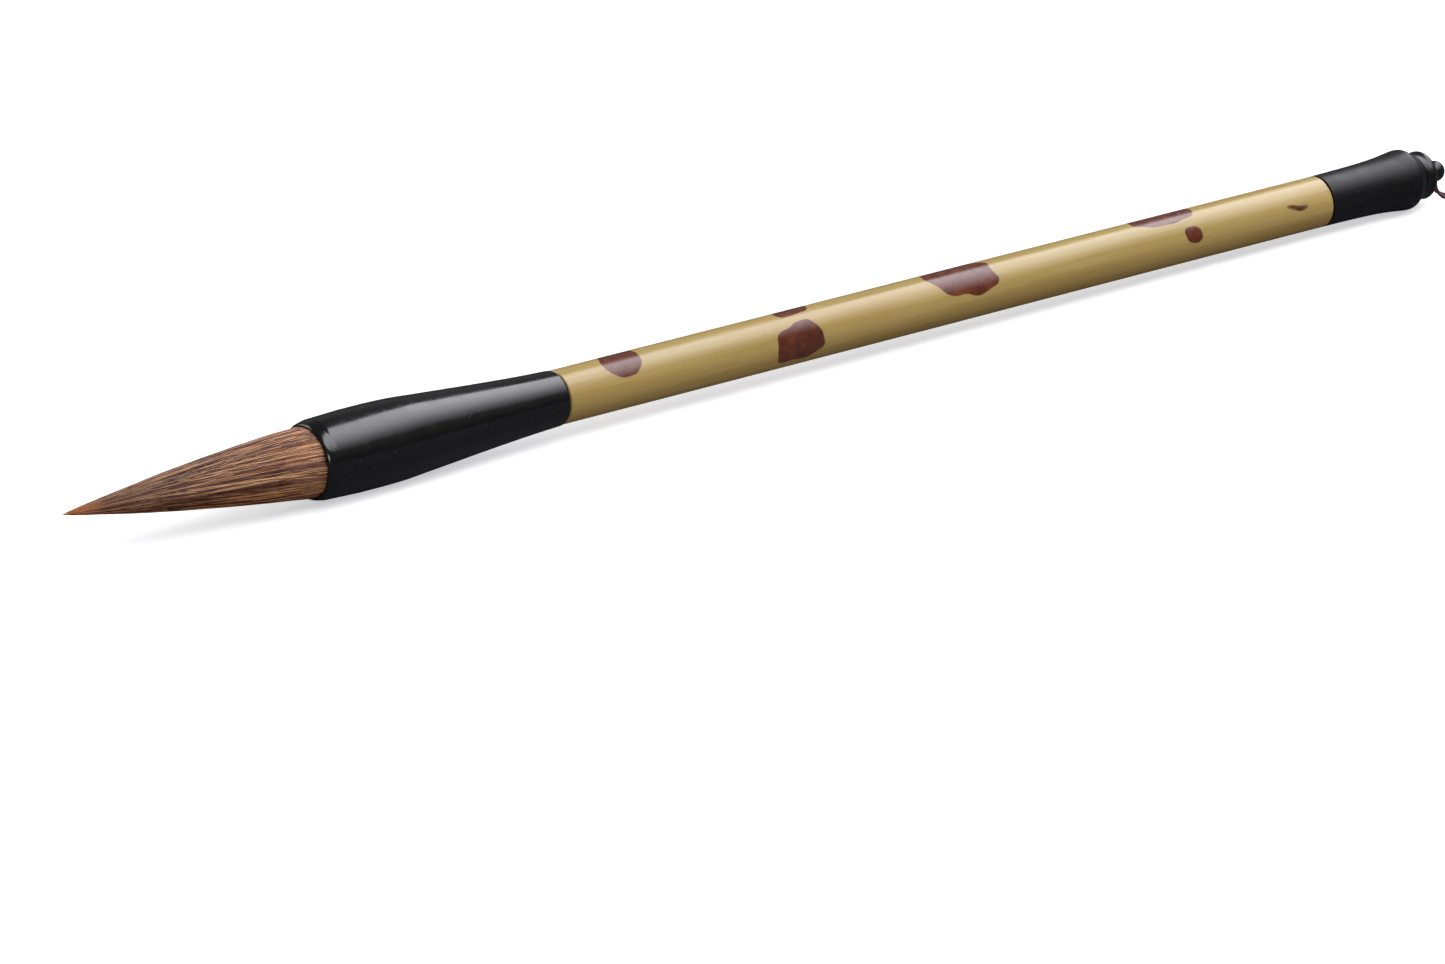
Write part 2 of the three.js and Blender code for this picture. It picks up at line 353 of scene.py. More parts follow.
def shaft_place_group():
    """Turns a place into millimetres along the shaft, degrees round it with 0 on top, and
    millimetres along the shaft's own three axes."""
    tree, n, start, end = new_group(
        "Shaft place", [("Place", VECTOR, None)],
        [("Along", NUMBER), ("Around", NUMBER), ("Local", VECTOR)],
    )
    local = n.vector("SUBTRACT", start["Place"], tuple(STATION_ZERO))
    along = n.vector("DOT_PRODUCT", local, tuple(ALONG / MM), result=1)
    across = n.vector("DOT_PRODUCT", local, tuple(ACROSS / MM), result=1)
    upward = n.vector("DOT_PRODUCT", local, tuple(UPWARD / MM), result=1)
    turn = n.maths("ARCTAN2", across, upward)
    n.set(end["Along"], along)
    n.set(end["Around"], n.maths("DEGREES", turn))
    n.set(end["Local"], n.join(along, across, upward))
    return tree


def mottle_group():
    """One smoke-brown mottle: a wobbly oval on the unrolled culm."""
    tree, n, start, end = new_group(
        "Mottle",
        [("Along", NUMBER, 0.0), ("Around", NUMBER, 0.0), ("Middle", NUMBER, 0.0),
         ("Turn", NUMBER, 0.0), ("Half Length", NUMBER, 4.0), ("Half Height", NUMBER, 40.0),
         ("Lean", NUMBER, 0.0), ("Softness", NUMBER, 0.04)],
        [("Mask", NUMBER)],
    )
    round_by = n.maths("SUBTRACT", start["Around"], start["Turn"])
    high = n.maths("DIVIDE", round_by, start["Half Height"])
    leaned = n.maths("MULTIPLY", high, start["Lean"])
    off = n.maths("SUBTRACT", n.maths("SUBTRACT", start["Along"], start["Middle"]), leaned)
    long = n.maths("DIVIDE", off, start["Half Length"])
    far = n.maths("ADD", n.maths("POWER", n.maths("ABSOLUTE", long), 2.3),
                  n.maths("POWER", n.maths("ABSOLUTE", high), 2.3))
    low = n.maths("SUBTRACT", 1.0, start["Softness"])
    top = n.maths("ADD", 1.0, start["Softness"])
    n.set(end["Mask"], n.ease(far, low, top, 1.0, 0.0))
    return tree


def dust_group():
    """Scattered specks of lint and dust, as a mask."""
    tree, n, start, end = new_group(
        "Dust", [("Place", VECTOR, None), ("Density", NUMBER, 1.0), ("Size", NUMBER, 0.1)],
        [("Mask", NUMBER)],
    )
    cells = n.add("ShaderNodeTexVoronoi", {
        "Vector": start["Place"], "Scale": start["Density"], "Randomness": 1.0,
    })
    near = n.ease(cells.outputs["Distance"], n.maths("MULTIPLY", start["Size"], 0.4),
                  start["Size"], 1.0, 0.0)
    chosen = n.add("ShaderNodeSeparateColor", {"Color": cells.outputs["Color"]})
    some = n.maths("GREATER_THAN", chosen.outputs[0], 0.55)
    faint = n.maths("MULTIPLY", n.maths("MULTIPLY", near, some), chosen.outputs[1])
    n.set(end["Mask"], faint)
    return tree


def scratches_group():
    """Fine polishing lines in two directions, as a height."""
    tree, n, start, end = new_group(
        "Fine scratches", [("Place", VECTOR, None), ("Length", NUMBER, 0.12)],
        [("Height", NUMBER)],
    )
    lines = None
    for turn, scale in ((0.35, 1.6), (-0.8, 1.1)):
        spun = n.add("ShaderNodeVectorRotate", {"Vector": start["Place"], "Angle": turn},
                     rotation_type="Z_AXIS")
        flat = n.vector("MULTIPLY", spun.outputs[0],
                        n.join(start["Length"], scale * 9, scale * 9))
        part = n.noise(flat, 1.0, 3.0, 0.6)
        thin = n.ease(n.maths("ABSOLUTE", n.maths("SUBTRACT", part, 0.5)), 0.0, 0.02, 1.0, 0.0)
        lines = thin if lines is None else n.maths("MAXIMUM", lines, thin)
    n.set(end["Height"], lines)
    return tree


def grain_group():
    """Long streaks that run along the shaft: one soft, one fine."""
    tree, n, start, end = new_group(
        "Lengthwise grain",
        [("Place", VECTOR, None), ("Stretch", NUMBER, 0.03), ("Soft Scale", NUMBER, 0.9),
         ("Fine Scale", NUMBER, 6.0)],
        [("Soft", NUMBER), ("Fine", NUMBER)],
    )
    flat = n.vector("MULTIPLY", start["Place"], n.join(start["Stretch"], 1.0, 1.0))
    n.set(end["Soft"], n.noise(flat, start["Soft Scale"], 3.0, 0.55))
    n.set(end["Fine"], n.noise(flat, start["Fine Scale"], 4.0, 0.6))
    return tree


PLACE = shaft_place_group()
MOTTLE = mottle_group()
DUST = dust_group()
SCRATCHES = scratches_group()
GRAIN = grain_group()


def new_material(name, **plain):
    """A material with its own Principled shader. plain holds the even values."""
    material = bpy.data.materials.new(name)
    material.use_nodes = True
    shader = material.node_tree.nodes["Principled BSDF"].inputs
    for label, value in plain.items():
        shader[label.replace("_", " ")].default_value = value
    return material, Nodes(material.node_tree), shader


def bumped(nodes, inputs, height, distance):
    """Feeds a pattern into the shader's normal; distance is its depth in millimetres."""
    bump = nodes.add("ShaderNodeBump", {"Height": height, "Distance": distance * MM,
                                        "Strength": 1.0})
    nodes.set(inputs["Normal"], bump.outputs[0])


# ---- Materials ----
def horn_material(name, rough, dust, shine=0.5):
    """Black buffalo horn with faint brown streaks, lint and fine scratches."""
    material, n, shader = new_material(name, IOR=1.54, Specular_IOR_Level=shine)
    spot = n.on_shaft()
    grain = n.use(GRAIN, {"Place": spot["Local"], "Stretch": 0.06, "Soft Scale": 0.5,
                          "Fine Scale": 3.5})
    streaks = n.blend(n.ease(grain["Soft"], 0.45, 0.75), colour(8, 8, 9),
                      colour(15, 13, 13))
    lint = n.use(DUST, {"Place": spot["Local"], "Density": dust, "Size": 0.11})
    n.set(shader["Base Color"],
          n.blend(n.maths("MULTIPLY", lint["Mask"], 0.6), streaks, colour(120, 122, 128)))
    cloud = n.noise(spot["Local"], 0.35, 3.0)
    n.set(shader["Roughness"],
          n.maths("ADD", n.ease(cloud, 0.3, 0.7, rough - 0.03, rough + 0.05),
                  n.maths("MULTIPLY", lint["Mask"], 0.3)))
    scratch = n.use(SCRATCHES, {"Place": spot["Local"], "Length": 0.5})
    ripple = n.maths("MULTIPLY", n.noise(spot["Local"], 0.4, 0.0), 0.5)
    bumped(n, shader, n.maths("ADD", ripple, n.maths("MULTIPLY", scratch["Height"], -0.012)),
           0.01)
    return material


# Mottles: station, turn from the top in degrees, half length, half height, lean, softness.
MOTTLES = [
    (13.8, 15, 4.1, 47, 0.2, 0.04),
    (23.0, -40, 3.2, 27, 0.0, 0.04),
    (51.5, -8, 4.0, 30, -0.3, 0.04),
    (50.3, 84, 5.1, 42, -0.5, 0.05),
    (88.8, 22, 7.0, 54, 0.6, 0.04),
    (137.3, -8, 7.3, 44, -0.2, 0.05),
    (142.0, 72, 2.2, 17, 0.2, 0.10),
    (166.8, 68, 2.1, 6, 0.3, 0.75),
    (33.5, -118, 4.6, 38, 0.5, 0.05),
    (71.0, -168, 5.6, 33, -0.4, 0.05),
    (66.5, -96, 2.4, 16, 0.0, 0.08),
    (108.0, -128, 6.4, 46, 0.8, 0.05),
    (119.0, -172, 3.4, 26, -0.2, 0.06),
    (157.0, -104, 4.8, 40, 0.3, 0.05),
]


def mottle_mask(n, spot):
    """All the mottles together, with one shared wobble of their edges."""
    wobble = n.noise(spot["Local"], 0.2, 0.6, 0.4)
    along = n.maths("ADD", spot["Along"], n.ease(wobble, 0.2, 0.8, -0.9, 0.9))
    other = n.noise(n.vector("ADD", spot["Local"], (31.0, 7.0, 3.0)), 0.22, 0.6, 0.4)
    around = n.maths("ADD", spot["Around"], n.ease(other, 0.2, 0.8, -6.0, 6.0))
    whole = None
    for middle, turn, length, height, lean, soft in MOTTLES:
        mask = n.use(MOTTLE, {
            "Along": along, "Around": around, "Middle": middle, "Turn": turn,
            "Half Length": length, "Half Height": height, "Lean": lean, "Softness": soft,
        })["Mask"]
        whole = mask if whole is None else n.maths("MAXIMUM", whole, mask)
    return whole


def bamboo_material():
    """Yellow culm with a waxed skin, long fibres, freckles and smoke-brown mottles."""
    material, n, shader = new_material("mottled_bamboo", IOR=1.5)
    spot = n.on_shaft()
    grain = n.use(GRAIN, {"Place": spot["Local"], "Stretch": 0.03, "Soft Scale": 0.7,
                          "Fine Scale": 5.0})
    tone = n.colours(grain["Soft"], [
        (0.30, colour(157, 135, 76)), (0.52, colour(165, 143, 84)),
        (0.75, colour(173, 151, 94)),
    ])
    cloud = n.noise(n.vector("MULTIPLY", spot["Local"], (0.05, 0.2, 0.2)), 1.0, 2.0)
    warm = n.blend(n.ease(cloud, 0.4, 0.75, 0.0, 0.4), tone, colour(163, 135, 74))
    fibres = n.blend(n.ease(grain["Fine"], 0.5, 0.8, 0.0, 0.3), warm, colour(144, 118, 62))
    freckle = n.use(DUST, {"Place": spot["Local"], "Density": 0.5, "Size": 0.13})
    skin = n.blend(n.maths("MULTIPLY", freckle["Mask"], 0.7), fibres, colour(120, 84, 44))
    mask = mottle_mask(n, spot)
    inside = n.noise(spot["Local"], 0.6, 3.0, 0.5)
    brown = n.colours(inside, [
        (0.3, colour(76, 34, 22)), (0.5, colour(90, 43, 26)), (0.72, colour(108, 56, 32)),
    ])
    rim = n.maths("MULTIPLY", n.maths("MULTIPLY", mask, n.maths("SUBTRACT", 1.0, mask)), 3.2,
                  clamp=True)
    stained = n.blend(mask, skin, brown)
    n.set(shader["Base Color"],
          n.blend(n.maths("MULTIPLY", rim, 0.6), stained, colour(76, 64, 38)))
    n.set(shader["Roughness"], n.ease(grain["Soft"], 0.3, 0.8, 0.22, 0.32))
    swell = n.maths("MULTIPLY", grain["Soft"], 1.2)
    bumped(n, shader, n.maths("ADD", swell, n.maths("MULTIPLY", grain["Fine"], 0.12)), 0.012)
    return material


def hair_material():
    """Weasel hair: red-brown along the belly. The pale tan band just ahead of the mouth is a
    painted highlight, and the hair is darker inside the mouth; the amber point is partly the
    hair's own colour, partly painted glow of light through the thin tips.
    """
    material, n, shader = new_material("brown_hair_painted_light", IOR=1.5, Specular_IOR_Level=0.4)
    along, own = n.stored("along"), n.stored("own_tone")
    # painted highlight: the pale tan stop at 0.07, just ahead of the mouth, stands in for light
    # on the hair; the 0.0 stop inside the mouth is darker
    length = n.colours(along, [
        (0.0, colour(124, 78, 56)), (0.07, colour(204, 146, 114)), (0.20, colour(150, 91, 65)),
        (0.46, colour(118, 65, 43)), (0.68, colour(90, 45, 27)), (0.84, colour(98, 49, 24)),
        # the amber stops at the point are partly the hair's own colour, partly painted glow of
        # light through the thin tips
        (0.93, colour(186, 106, 34)), (1.0, colour(228, 146, 48)),
    ])
    dark = n.blend(n.ease(own, 0.0, 0.36, 0.75, 0.0), length, colour(52, 26, 14))
    # pale gold: the hairs' own random tone, and for the pale strays also painted highlight
    # glints
    light = n.blend(n.ease(own, 0.62, 1.0, 0.0, 0.75), dark, colour(234, 180, 126))
    n.set(shader["Base Color"], light)
    flutter = n.noise(n.join(n.maths("MULTIPLY", along, 40.0), n.maths("MULTIPLY", own, 90.0),
                             0.0), 1.0, 2.0)
    n.set(shader["Roughness"], n.ease(flutter, 0.3, 0.7, 0.3, 0.42))
    return material


def inner_hair_painted_shade_material():
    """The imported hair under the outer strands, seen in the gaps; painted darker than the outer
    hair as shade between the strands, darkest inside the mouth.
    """
    material, n, shader = new_material("packed_hair_painted_shade", IOR=1.45)
    along, own = n.stored("along"), n.stored("own_tone")
    # painted shade: darker than the outer hair all along, near black at the root inside the
    # mouth
    length = n.colours(along, [
        (0.0, colour(26, 16, 11)), (0.12, colour(66, 40, 26)), (0.5, colour(88, 52, 32)),
        (0.8, colour(110, 62, 30)), (1.0, colour(190, 114, 44)),
    ])
    n.set(shader["Base Color"],
          n.blend(n.ease(own, 0.2, 0.8, 0.0, 0.5), length, colour(40, 26, 20)))
    n.set(shader["Roughness"], n.ease(own, 0.2, 0.8, 0.45, 0.6))
    return material


def silk_material():
    """Dark maroon silk cord with lighter threads along its twist."""
    material, n, shader = new_material("maroon_silk", Sheen_Weight=0.25)
    along, turn = n.stored("along"), n.stored("own_tone")
    thread = n.noise(n.join(n.maths("MULTIPLY", turn, 26.0), n.maths("MULTIPLY", along, 60.0),
                            0.0), 1.0, 3.0)
    n.set(shader["Base Color"], n.colours(thread, [
        (0.3, colour(42, 14, 20)), (0.5, colour(66, 22, 32)), (0.7, colour(104, 44, 56)),
    ]))
    n.set(shader["Roughness"], n.ease(thread, 0.3, 0.7, 0.45, 0.7))
    bumped(n, shader, thread, 0.05)
    return material


def plain_wood_material():
    """Pale turned dowel wood with lengthwise grain."""
    material, n, shader = new_material("dowel_beech")
    grain = n.use(GRAIN, {"Place": n.on_shaft()["Local"], "Stretch": 0.05,
                          "Soft Scale": 0.8, "Fine Scale": 5.0})
    n.set(shader["Base Color"], n.colours(grain["Fine"], [
        (0.3, colour(150, 112, 70)), (0.55, colour(184, 144, 96)), (0.8, colour(204, 168, 120)),
    ]))
    n.set(shader["Roughness"], n.ease(grain["Soft"], 0.3, 0.7, 0.6, 0.75))
    bumped(n, shader, grain["Fine"], 0.05)
    return material


def hidden_material(name, stretch, detail, stops, finish, depth, **plain):
    """For a piece inside: one stretched noise gives its colour, roughness and relief."""
    material, n, shader = new_material(name, **plain)
    pattern = n.noise(n.vector("MULTIPLY", n.on_shaft()["Local"], stretch), 1.0, *detail)
    n.set(shader["Base Color"], n.colours(pattern, stops))
    n.set(shader["Roughness"], n.ease(pattern, 0.3, 0.7, *finish))
    bumped(n, shader, pattern, depth)
    return material


# ---- Camera and cord, which come first ----
CAMERA_TURN = math.radians(-39.49)
CAMERA_RISE = math.radians(19.71)
CAMERA_DISTANCE = 1.36983
CAMERA_AIM = Vector((-0.0168167, 0.0, -0.0164085))  # from the middle of the brush
CAMERA_LENS = 199.31
CAMERA_SENSOR = 36.0


def make_camera():
    """A long lens that looks down on the brush from the front left."""
    data = bpy.data.cameras.new("viewer")
    data.lens = CAMERA_LENS
    data.sensor_width = CAMERA_SENSOR
    data.clip_start, data.clip_end = 0.05, 40.0
    camera = put_in_scene("viewer", data)
    back = Vector((math.sin(CAMERA_TURN) * math.cos(CAMERA_RISE),
                   -math.cos(CAMERA_TURN) * math.cos(CAMERA_RISE), math.sin(CAMERA_RISE)))
    camera.location = CAMERA_AIM + back * CAMERA_DISTANCE
    camera.rotation_mode = "QUATERNION"
    camera.rotation_quaternion = (-back).to_track_quat("-Z", "Y")
    bpy.context.scene.camera = camera


def flowing_line(points, steps):
    """A centripetal line through the points, cut into steps for each stretch."""
    ends = [points[0] * 2 - points[1]] + points + [points[-1] * 2 - points[-2]]
    line = []
    for p0, p1, p2, p3 in zip(ends, ends[1:], ends[2:], ends[3:]):
        t1 = (p1 - p0).length ** 0.5
        t2 = t1 + (p2 - p1).length ** 0.5
        t3 = t2 + (p3 - p2).length ** 0.5
        for k in range(steps):
            t = t1 + (t2 - t1) * k / steps
            a = p0 * ((t1 - t) / t1) + p1 * (t / t1)
            b = p1 * ((t2 - t) / (t2 - t1)) + p2 * ((t - t1) / (t2 - t1))
            c = p2 * ((t3 - t) / (t3 - t2)) + p3 * ((t - t2) / (t3 - t2))
            d = a * ((t2 - t) / t2) + b * (t / t2)
            e = b * ((t3 - t) / (t3 - t1)) + c * ((t - t1) / (t3 - t1))
            line.append(d * ((t2 - t) / (t2 - t1)) + e * ((t - t1) / (t2 - t1)))
    line.append(points[-1])
    return line


def sections(line):
    """For each point of a line, its two sideways directions, carried along untwisted."""
    side = Vector((0.0, 1.0, 0.0))
    frames = []
    for i, point in enumerate(line):
        ahead = (line[min(i + 1, len(line) - 1)] - line[max(i - 1, 0)]).normalized()
        side = (side - ahead * side.dot(ahead)).normalized()
        frames.append((point, side, ahead.cross(side)))
    return frames


def even_line(line, step):
    """The same line with its points a fixed step apart."""
    out = [line[0]]
    left = step
    for a, b in zip(line, line[1:]):
        gone = 0.0
        length = (b - a).length
        while length - gone >= left:
            gone += left
            out.append(a.lerp(b, gone / length))
            left = step
        left -= length - gone
    if (line[-1] - out[-1]).length > step / 2:
        out.append(line[-1])
    return out


def hanging_loop():
    """The silk loop: one cord of three twisted plies, both ends glued under the ball."""
    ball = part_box("finial")[1][0] - CORD_HOLE_INSET * MM
    route = [Vector((ball + x * MM, y * MM, z * MM)) for x, y, z in LOOP_ROUTE]
    line = even_line(flowing_line(route, 12), CORD_STEP * MM)
    work = bmesh.new()
    rings, along, tones = [], [], []
    for i, (point, side, other) in enumerate(sections(line)):
        twist = 2 * math.pi * i * CORD_STEP / CORD_PITCH
        ring = []
        for k in range(CORD_SIDES):
            angle = 2 * math.pi * k / CORD_SIDES
            groove = abs(math.cos(CORD_PLIES * (angle - twist) / 2)) ** 0.8
            radius = CORD_DIAMETER / 2 * (0.80 + 0.20 * groove) * MM
            ring.append(work.verts.new(
                point + (side * math.cos(angle) + other * math.sin(angle)) * radius))
            along.append(i / len(line))
            tones.append((angle - twist) / (2 * math.pi) % 1.0)
        rings.append(ring)
    skin_tube(work, rings)
    piece = new_piece("silk_loop", work, silk_material())
    point_values(piece, "along", along)
    point_values(piece, "own_tone", tones)
    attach(piece, "shaft")
    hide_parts("hanging_loop")


# ---- Turned pieces ----
def ferrule():
    """Horn ferrule: a socket for the hair in front, a tenon bore behind."""
    outline = [(-51.0, LIP_RADIUS), (-51.35, LIP_RADIUS)]
    outline += arc(-51.48, 6.12, 0.17, -175, -60, 8)
    outline += smooth_steps([(-51.5, 6.33), (-51.25, 6.47), (-50.9, 6.58), (-50.4, 6.69),
                             (-49.8, 6.79)], 4)
    outline += smooth_steps([(-49.7, 6.83), (-47, 6.93), (-45, 7.0), (-43, 7.07)], 6)
    outline += smooth_steps([(-38, 7.08), (-34, 6.99), (-28, 6.57), (-14, 5.55), (-6, 5.05),
                             (-0.35, 4.8)], 10)
    outline += arc(-0.25, 4.55, 0.25, 0, 90, 5)
    outline += [(0, TENON_BORE), (-19.8, TENON_BORE), (-20.6, 1.2), (SOCKET_FLOOR, 1.2),
                (SOCKET_FLOOR, MOUTH_BORE), (-50.6, MOUTH_BORE)]
    piece = turned("horn_ferrule", outline, HORN_POLISHED, 192)
    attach(piece, "shaft")
    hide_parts("ferrule")


def culm_wobble(station, radius, angle):
    """The slight unevenness of a real culm's skin, in millimetres."""
    if radius < BAMBOO_RADIUS - 0.5:
        return 0.0
    place = Vector((station * 0.03, math.cos(angle) * 0.9, math.sin(angle) * 0.9))
    return 0.03 * noise.noise(place) - 0.015


def bamboo_handle():
    """Bamboo culm, bored through for the dowels."""
    rear = BAMBOO_LENGTH - GAP
    outline = [(GAP, TENON_BORE), (GAP, END_RADIUS)]
    outline += smooth_steps([(GAP + END_EDGE, BAMBOO_RADIUS), (60, BAMBOO_RADIUS + 0.03),
                             (120, BAMBOO_RADIUS), (rear - END_EDGE, BAMBOO_RADIUS)], 60)
    outline += [(rear, END_RADIUS), (rear, TENON_BORE)]
    piece = turned("bamboo_handle", outline, bamboo_material(), 144, culm_wobble)
    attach(piece, "shaft")
    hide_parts("handle_tube")


def tail_cap():
    """Horn tail cap: flush with the bamboo, swelling to a rounded rim."""
    outline = arc(BAMBOO_LENGTH + END_EDGE, END_RADIUS, END_EDGE, -90, -10, 4)
    outline += smooth_steps([(176.3, 4.71), (180, 4.74), (186, 4.84), (190, 4.99),
                             (193, 5.22), (195, 5.45), (196.5, 5.595)], 8)
    outline += arc(196.9, 4.2, 1.4, 2, 56, 12)
    outline += smooth_steps([(198.35, 4.84), (198.8, 4.62), (CAP_REAR, 4.4)], 5)
    outline += [(CAP_REAR, PEG_BORE), (PEG_FRONT - GAP, PEG_BORE),
                (PEG_FRONT - GAP - 0.8, TENON_BORE), (BAMBOO_LENGTH, TENON_BORE)]
    piece = turned("horn_tail_cap", outline, HORN_SATIN, 192)
    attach(piece, "shaft")
    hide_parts("tail_cap")


def finial():
    """Horn finial: peg, rounded rim, cone, neck and ball, with the loop's blind hole."""
    peg = PEG_BORE - GAP
    front = CAP_REAR + GAP
    outline = [(PEG_FRONT, 0.0), (PEG_FRONT, peg - 0.4), (PEG_FRONT + 0.4, peg),
               (front, peg), (front, 4.28)]
    outline += arc(RIM_STATION - 0.1, RIM_RADIUS - 1.1, 1.1, -32, 55, 16)
    outline += smooth_steps([(202.6, 3.75), (203.0, 3.3), (203.8, 2.3), (204.3, 1.8)], 6)
    outline += arc(BALL_STATION, 0.0, BALL_RADIUS, -26, 88, 26)
    outline += [(BALL_STATION + BALL_RADIUS, 0.0)]
    piece = turned("horn_finial", outline, HORN_HANDLED, 96)
    drill_cord_hole(piece)
    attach(piece, "shaft")
    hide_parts("finial")


def drill_cord_hole(piece):
    """Cuts the blind hole for the loop into the underside of the ball."""
    radius, length, middle = CORD_HOLE_RADIUS * MM, 4 * MM, Vector((0, 0, -1.85 * MM))
    work = bmesh.new()
    bmesh.ops.create_cone(
        work, cap_ends=True, segments=40, radius1=radius, radius2=radius, depth=length,
        matrix=Matrix.Translation(on_shaft(CORD_HOLE_STATION) + middle))
    drill = new_piece("drill", work, HORN_HANDLED)
    cut = piece.modifiers.new("cord_hole", "BOOLEAN")
    cut.object = drill
    cut.solver = "EXACT"
    bpy.context.view_layer.objects.active = piece
    bpy.ops.object.modifier_apply(modifier="cord_hole")
    bpy.data.objects.remove(drill)


# ---- Hair ----
TUFT_AHEAD = Vector((-math.cos(SLOPE + HAIR_LIFT), 0.0, math.sin(SLOPE + HAIR_LIFT)))
TUFT_UP = Vector((math.sin(SLOPE + HAIR_LIFT), 0.0, math.cos(SLOPE + HAIR_LIFT)))
HAIR_LINE = smooth_steps(HAIR_OUTLINE, 8)
ROOT_AT = -3.2  # the strands start inside the mouth, this far behind the hinge
GRIP_END, FREE_START = -2.6, 9  # the grip's end and the free hair's start, in millimetres from the hinge
HAIR_SIDES = 3
HAIR_STEPS = 20
COVER_SEED, STRAY_SEED = 417, 88
LOCKS, HAIRS_PER_LOCK = 134, 12
STRAYS = 620
PACKED_SIDES, PACKED_RINGS = 260, 110
PACKED_START, PACKED_END = -3.4, HAIR_LENGTH - 1.2
PACKED_SHARE = 0.965  # of the tuft's own radius


def in_tuft(ahead, up, across):
    """A point of the tuft, in millimetres from the hinge."""
    up += HAIR_RISE * min(1.0, max(0.0, (ahead - RISE_START) / RISE_SPAN))
    return HINGE + (TUFT_AHEAD * ahead + TUFT_UP * up + ACROSS * across) * MM


def bend_with_tuft(piece):
    """Hair is held in the mouth. This bakes the piece's placement into its mesh; it works out
    the points at the grip's end and the free hair's start but bends nothing.
    """
    in_tuft(GRIP_END, 0, 0)
    in_tuft(FREE_START, 0, 0)
    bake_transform(piece)


def share_along(station):
    """How far along the hair a station is, from 0 at the root to 1 at the point."""
    return max(0.0, (station - ROOT_AT) / (HAIR_LENGTH - ROOT_AT))


class Strands:
    """Grows thin tapered hairs into one mesh."""

    def __init__(self):
        self.verts, self.faces, self.along, self.tones = [], [], [], []

    def grow(self, path, thick, tone):
        """path is a list of (ahead, up, across); thick gives the radius at each step."""
        points = [in_tuft(*p) for p in path]
        base = len(self.verts)
        for i, (point, side, other) in enumerate(sections(points)):
            for k in range(HAIR_SIDES):
                angle = 2 * math.pi * k / HAIR_SIDES
                out = side * math.cos(angle) + other * math.sin(angle)
                self.verts.append(point + out * thick[i] * MM)
                self.along.append(share_along(path[i][0]))
                self.tones.append(tone)
        rows = len(points)
        for i in range(rows - 1):
            for k in range(HAIR_SIDES):
                n = (k + 1) % HAIR_SIDES
                a, b = base + i * HAIR_SIDES, base + (i + 1) * HAIR_SIDES
                self.faces.append((a + k, a + n, b + n, b + k))
        last = base + (rows - 1) * HAIR_SIDES
        self.faces.append(tuple(base + k for k in reversed(range(HAIR_SIDES))))
        self.faces.append(tuple(last + k for k in range(HAIR_SIDES)))

    def finish(self, name, material):
        """Makes the piece out of all the hairs."""
        mesh = bpy.data.meshes.new(name)
        mesh.from_pydata(self.verts, [], self.faces)
        mesh.validate()
        piece = dressed(name, mesh, material)
        point_values(piece, "along", self.along)
        point_values(piece, "own_tone", self.tones)
        return piece


def wander(dice, size):
    """A slow random wave, as a function of the distance along the hair."""
    waves = [(dice.uniform(0.05, 0.28), dice.uniform(0, 6.28), dice.uniform(0.4, 1.0))
             for _ in range(3)]
    return lambda s: size / 3 * sum(h * math.sin(f * s + p) for f, p, h in waves)


def hair_path(dice, turn, share, reach, sway):
    """One hair down the tuft. turn gives its angle round the tuft at a station, share is
    its distance from the middle as a share of the local radius, reach is its last
    station and sway the size of its wandering in millimetres."""
    side, lift = wander(dice, sway), wander(dice, sway * 0.5)
    path = []
    for i in range(HAIR_STEPS + 1):
        u = i / HAIR_STEPS
        s = ROOT_AT + (reach - ROOT_AT) * u
        radius = read_line(HAIR_LINE, s)
        settle = min(1.0, radius / 2.0)
        r = radius * share + lift(s) * settle
        angle = turn(s) + side(s) * settle / max(radius, 0.6)
        path.append((s, r * math.cos(angle), r * math.sin(angle)))
    return path


def hair_thickness(thick):
    """Even for most of the length, then a fine tip."""
    return [thick * max(0.12, min(1.0, (1.02 - i / HAIR_STEPS) / 0.45) ** 0.8)
            for i in range(HAIR_STEPS + 1)]


def lock_turn(middle, offset, close, drift):
    """The angle of one hair of a lock, which draws together towards the point."""
    def turn(s):
        gather = 1 - 0.25 * close * min(1.0, max(0.0, s + 3) / 20)
        return middle + offset * 2 * math.pi / LOCKS * 1.5 * gather + drift(s) * 0.12
    return turn


def stray_turn(start, lean):
    """The angle of a hair that crosses the others at a slant."""
    return lambda s: start + lean * (s + 3) / 25


def cover_strands():
    """The outer hair: many fine locks of a dozen hairs that close into the point."""
    dice = random.Random(COVER_SEED)
    strands = Strands()
    for lock in range(LOCKS):
        middle = 2 * math.pi * (lock + dice.uniform(-0.3, 0.3)) / LOCKS
        drift = wander(dice, 0.3)
        height = dice.uniform(0.955, 1.0)
        tone = dice.gauss(0.5, 0.07)
        for _ in range(HAIRS_PER_LOCK):
            offset = dice.gauss(0, 0.5)
            rise = height - 0.05 * offset * offset - dice.uniform(0, 0.045)
            turn = lock_turn(middle, offset, dice.uniform(0.55, 1.0), drift)
            reach = min(HAIR_LENGTH, dice.triangular(26, 50, 48)) - dice.uniform(0, 0.8)
            path = hair_path(dice, turn, rise, reach, 0.14)
            own = min(1.0, max(0.0, tone + dice.gauss(0, 0.27)))
            strands.grow(path, hair_thickness(dice.uniform(0.05, 0.085)), own)
    piece = strands.finish("cover_strands", HAIR)
    bend_with_tuft(piece)
    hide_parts("cover_hair")


def stray_strands():
    """Long hairs that lie across the others: two dark ones to each pale one; the pale ones are
    partly painted highlight glints.
    """
    dice = random.Random(STRAY_SEED)
    strands = Strands()
    for number in range(STRAYS):
        turn = stray_turn(dice.uniform(0, 2 * math.pi), dice.gauss(0, 0.13))
        rise = dice.uniform(0.985, 1.012)
        path = hair_path(dice, turn, rise, dice.uniform(24, 46), 0.3)
        # pale strays: partly the hair's own tone, partly painted highlight glints
        tone = dice.uniform(0.02, 0.15) if number % 3 else dice.uniform(0.9, 1.0)
        strands.grow(path, hair_thickness(dice.uniform(0.045, 0.08)), tone)
    piece = strands.finish("stray_strands", HAIR)
    bend_with_tuft(piece)


